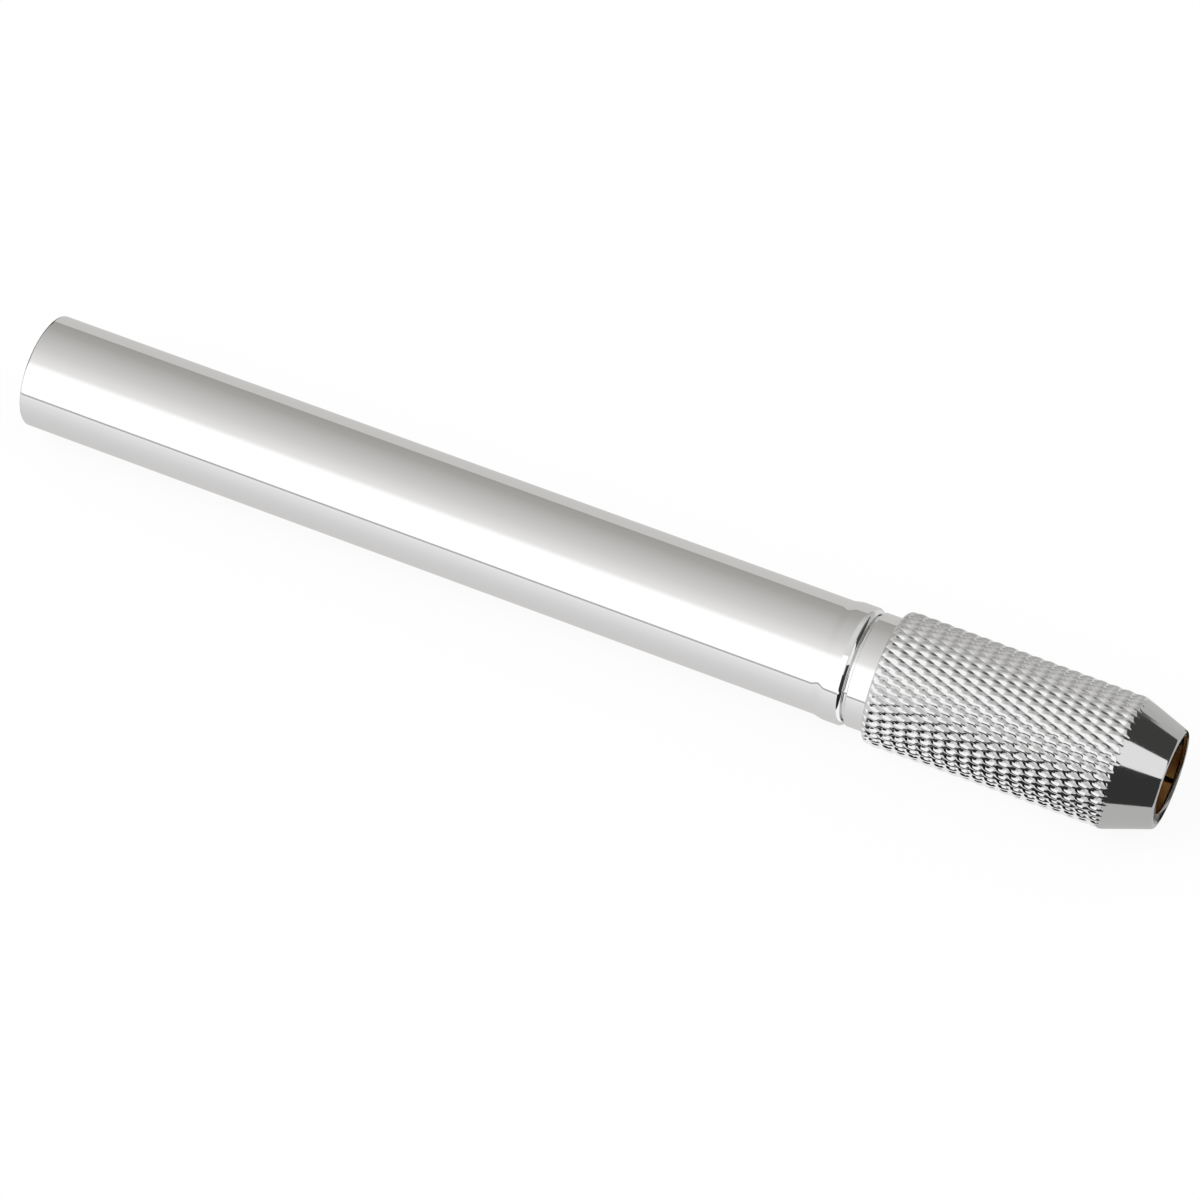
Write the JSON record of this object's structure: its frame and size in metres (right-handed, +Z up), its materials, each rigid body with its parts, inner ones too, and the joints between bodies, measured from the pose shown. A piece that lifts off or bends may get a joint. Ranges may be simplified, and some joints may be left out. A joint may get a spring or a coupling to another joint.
{
  "type": "pencil extender",
  "caption": "Slim metal tube with a knurled screw collar that squeezes split jaws round the stub of a pencil.",
  "frame": {"origin": "on the surface that it lies on, below the middle of its length", "axes": "+X along the axis towards the nose that takes the pencil, +Z up, away from the surface"},
  "size_m": [0.1084, 0.0122, 0.0122],
  "materials": {
    "tube_plate": "polished plate",
    "sleeve_plate": "polished plate",
    "collar_plate": "bright plate over a diamond knurl",
    "collet_brass": "turned, unplated"
  },
  "bodies": {
    "barrel": {"barrel_tube": "tube_plate", "threaded_sleeve": "sleeve_plate"},
    "collet": {"collet_ring": "collet_brass"},
    "jaw_1": {"jaw_1": "collet_brass"},
    "jaw_2": {"jaw_2": "collet_brass"},
    "jaw_3": {"jaw_3": "collet_brass"},
    "jaw_4": {"jaw_4": "collet_brass"},
    "collar": {"knurled_collar": "collar_plate"}
  },
  "joints": [
    {"name": "collet_slide", "type": "slide", "parent": "barrel", "child": "collet", "axis": [-1, 0, 0], "range_m": [-0.00075, 0.00112]},
    {"name": "collar_turn", "type": "hinge", "parent": "collet", "child": "collar", "pos_m": [0.041, 0, 0.0061], "axis": [-1, 0, 0], "range_deg": [-360, 540]},
    {"name": "jaw_1_flex", "type": "hinge", "parent": "collet", "child": "jaw_1", "pos_m": [0.03515, 0.00073, 0.01023], "axis": [0, 0.9848, -0.1736], "range_deg": [-0.62, 0.93]},
    {"name": "jaw_2_flex", "type": "hinge", "parent": "collet", "child": "jaw_2", "pos_m": [0.03515, -0.00413, 0.00683], "axis": [0, 0.1736, 0.9848], "range_deg": [-0.62, 0.93]},
    {"name": "jaw_3_flex", "type": "hinge", "parent": "collet", "child": "jaw_3", "pos_m": [0.03515, -0.00073, 0.00197], "axis": [0, -0.9848, 0.1736], "range_deg": [-0.62, 0.93]},
    {"name": "jaw_4_flex", "type": "hinge", "parent": "collet", "child": "jaw_4", "pos_m": [0.03515, 0.00413, 0.00537], "axis": [0, -0.1736, -0.9848], "range_deg": [-0.62, 0.93]}
  ],
  "couplings": [
    {"joint": "collar_turn", "follows": "collet_slide", "rad_per_m": 8377.6},
    {"joint": "jaw_1_flex", "follows": "collet_slide", "rad_per_m": 14.337},
    {"joint": "jaw_2_flex", "follows": "collet_slide", "rad_per_m": 14.337},
    {"joint": "jaw_3_flex", "follows": "collet_slide", "rad_per_m": 14.337},
    {"joint": "jaw_4_flex", "follows": "collet_slide", "rad_per_m": 14.337}
  ]
}
